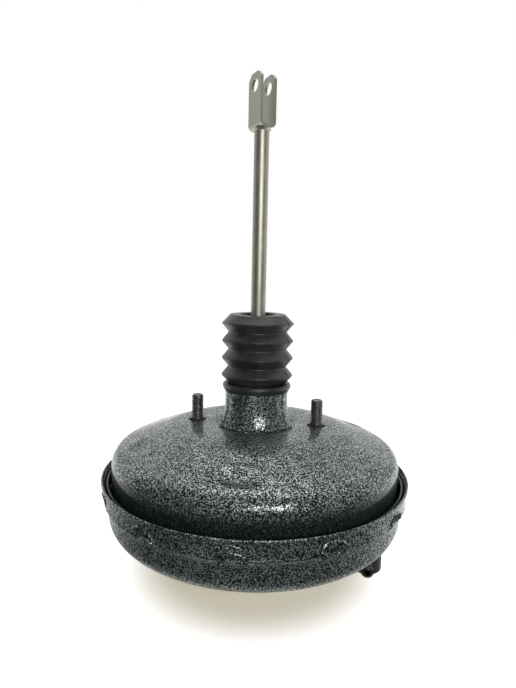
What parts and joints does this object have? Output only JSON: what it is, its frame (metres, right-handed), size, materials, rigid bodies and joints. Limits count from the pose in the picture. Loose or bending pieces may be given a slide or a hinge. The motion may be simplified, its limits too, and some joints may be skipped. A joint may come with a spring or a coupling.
{
  "type": "brake booster",
  "caption": "Single-diaphragm vacuum brake booster: painted pressed shells, rubber boot on the rear neck, long pushrod with a folded clevis, mounting studs and a check valve.",
  "frame": {"origin": "midway between the rear studs, on the plane of the tops of their dished rings, which is the rear mounting face", "axes": "+Z along the booster's axis from the master cylinder side towards the clevis; +X through the two rear studs; +Y completes a right-handed frame"},
  "size_m": [0.25, 0.25, 0.3975],
  "materials": {
    "shell_paint": "glossy hammertone paint",
    "bright_steel": "satin zinc plating",
    "dark_steel": "dark plated",
    "spring_steel": "drawn wire",
    "dish_steel": "passivated",
    "boot_rubber": "matte",
    "seal_rubber": "smooth",
    "diaphragm_rubber": "matte",
    "valve_plastic": "moulded",
    "piston_plastic": "moulded",
    "filter_felt": "open felt"
  },
  "bodies": {
    "housing": {"front_shell": "shell_paint", "rear_shell": "shell_paint", "neck_tube": "shell_paint", "rear_studs": "dark_steel", "stud_rings": "dark_steel", "front_studs": "dark_steel", "reinforcement_plate": "dark_steel", "front_seal": "seal_rubber", "neck_seal": "seal_rubber", "neck_bush": "valve_plastic", "neck_ring": "spring_steel", "boot": "boot_rubber", "diaphragm": "diaphragm_rubber", "return_spring": "spring_steel", "valve_grommet": "seal_rubber"},
    "power_piston": {"valve_body": "piston_plastic", "diaphragm_plate": "dish_steel", "reaction_disc": "seal_rubber", "output_rod": "bright_steel", "output_rod_screw": "bright_steel", "output_rod_retainer": "spring_steel", "stop_key": "spring_steel", "poppet_retainer": "spring_steel", "poppet_spring": "spring_steel", "pushrod_spring": "spring_steel", "silencer": "filter_felt", "air_filter": "filter_felt", "filter_ring": "spring_steel"},
    "plunger": {"valve_plunger": "bright_steel"},
    "poppet": {"poppet_valve": "seal_rubber"},
    "rod_seat": {"rod_spring_seat": "spring_steel"},
    "rod": {"pushrod": "bright_steel", "clevis": "bright_steel"},
    "check_valve": {"check_valve_body": "valve_plastic", "check_valve_cap": "valve_plastic", "check_spring": "spring_steel"},
    "check_plate": {"check_disc": "seal_rubber"}
  },
  "joints": [
    {"name": "piston_stroke", "type": "slide", "parent": "housing", "child": "power_piston", "axis": [0, 0, -1], "range_m": [0, 0.036], "stiffness_N_per_m": 4000, "springref_m": -0.0375, "deforming": ["boot", "diaphragm", "return_spring"]},
    {"name": "valve_travel", "type": "slide", "parent": "power_piston", "child": "plunger", "axis": [0, 0, -1], "range_m": [0, 0.002], "stiffness_N_per_m": 3000, "springref_m": -0.01, "deforming": ["pushrod_spring"]},
    {"name": "poppet_lift", "type": "slide", "parent": "power_piston", "child": "poppet", "axis": [0, 0, -1], "range_m": [0, 0.0008], "deforming": ["poppet_spring"]},
    {"name": "pushrod_swing", "type": "hinge", "parent": "plunger", "child": "rod_seat", "pos_m": [0, 0, -0.0052], "axis": [0.788, 0.6157, 0], "range_deg": [-3, 3], "stiffness_Nm_per_rad": 8},
    {"name": "pushrod_turn", "type": "hinge", "parent": "rod_seat", "child": "rod", "pos_m": [0, 0, 0.0428], "axis": [0, 0, 1], "continuous": true},
    {"name": "check_valve_turn", "type": "hinge", "parent": "housing", "child": "check_valve", "pos_m": [0.09242, -0.02598, -0.0892], "axis": [0, 0, 1], "range_deg": [-90, 90]},
    {"name": "check_lift", "type": "slide", "parent": "check_valve", "child": "check_plate", "axis": [0, 0, -1], "range_m": [0, 0.0015], "stiffness_N_per_m": 60, "springref_m": -0.004, "deforming": ["check_spring"]}
  ],
  "couplings": [
    {"joint": "poppet_lift", "follows": "valve_travel", "ratio": 0.4}
  ]
}
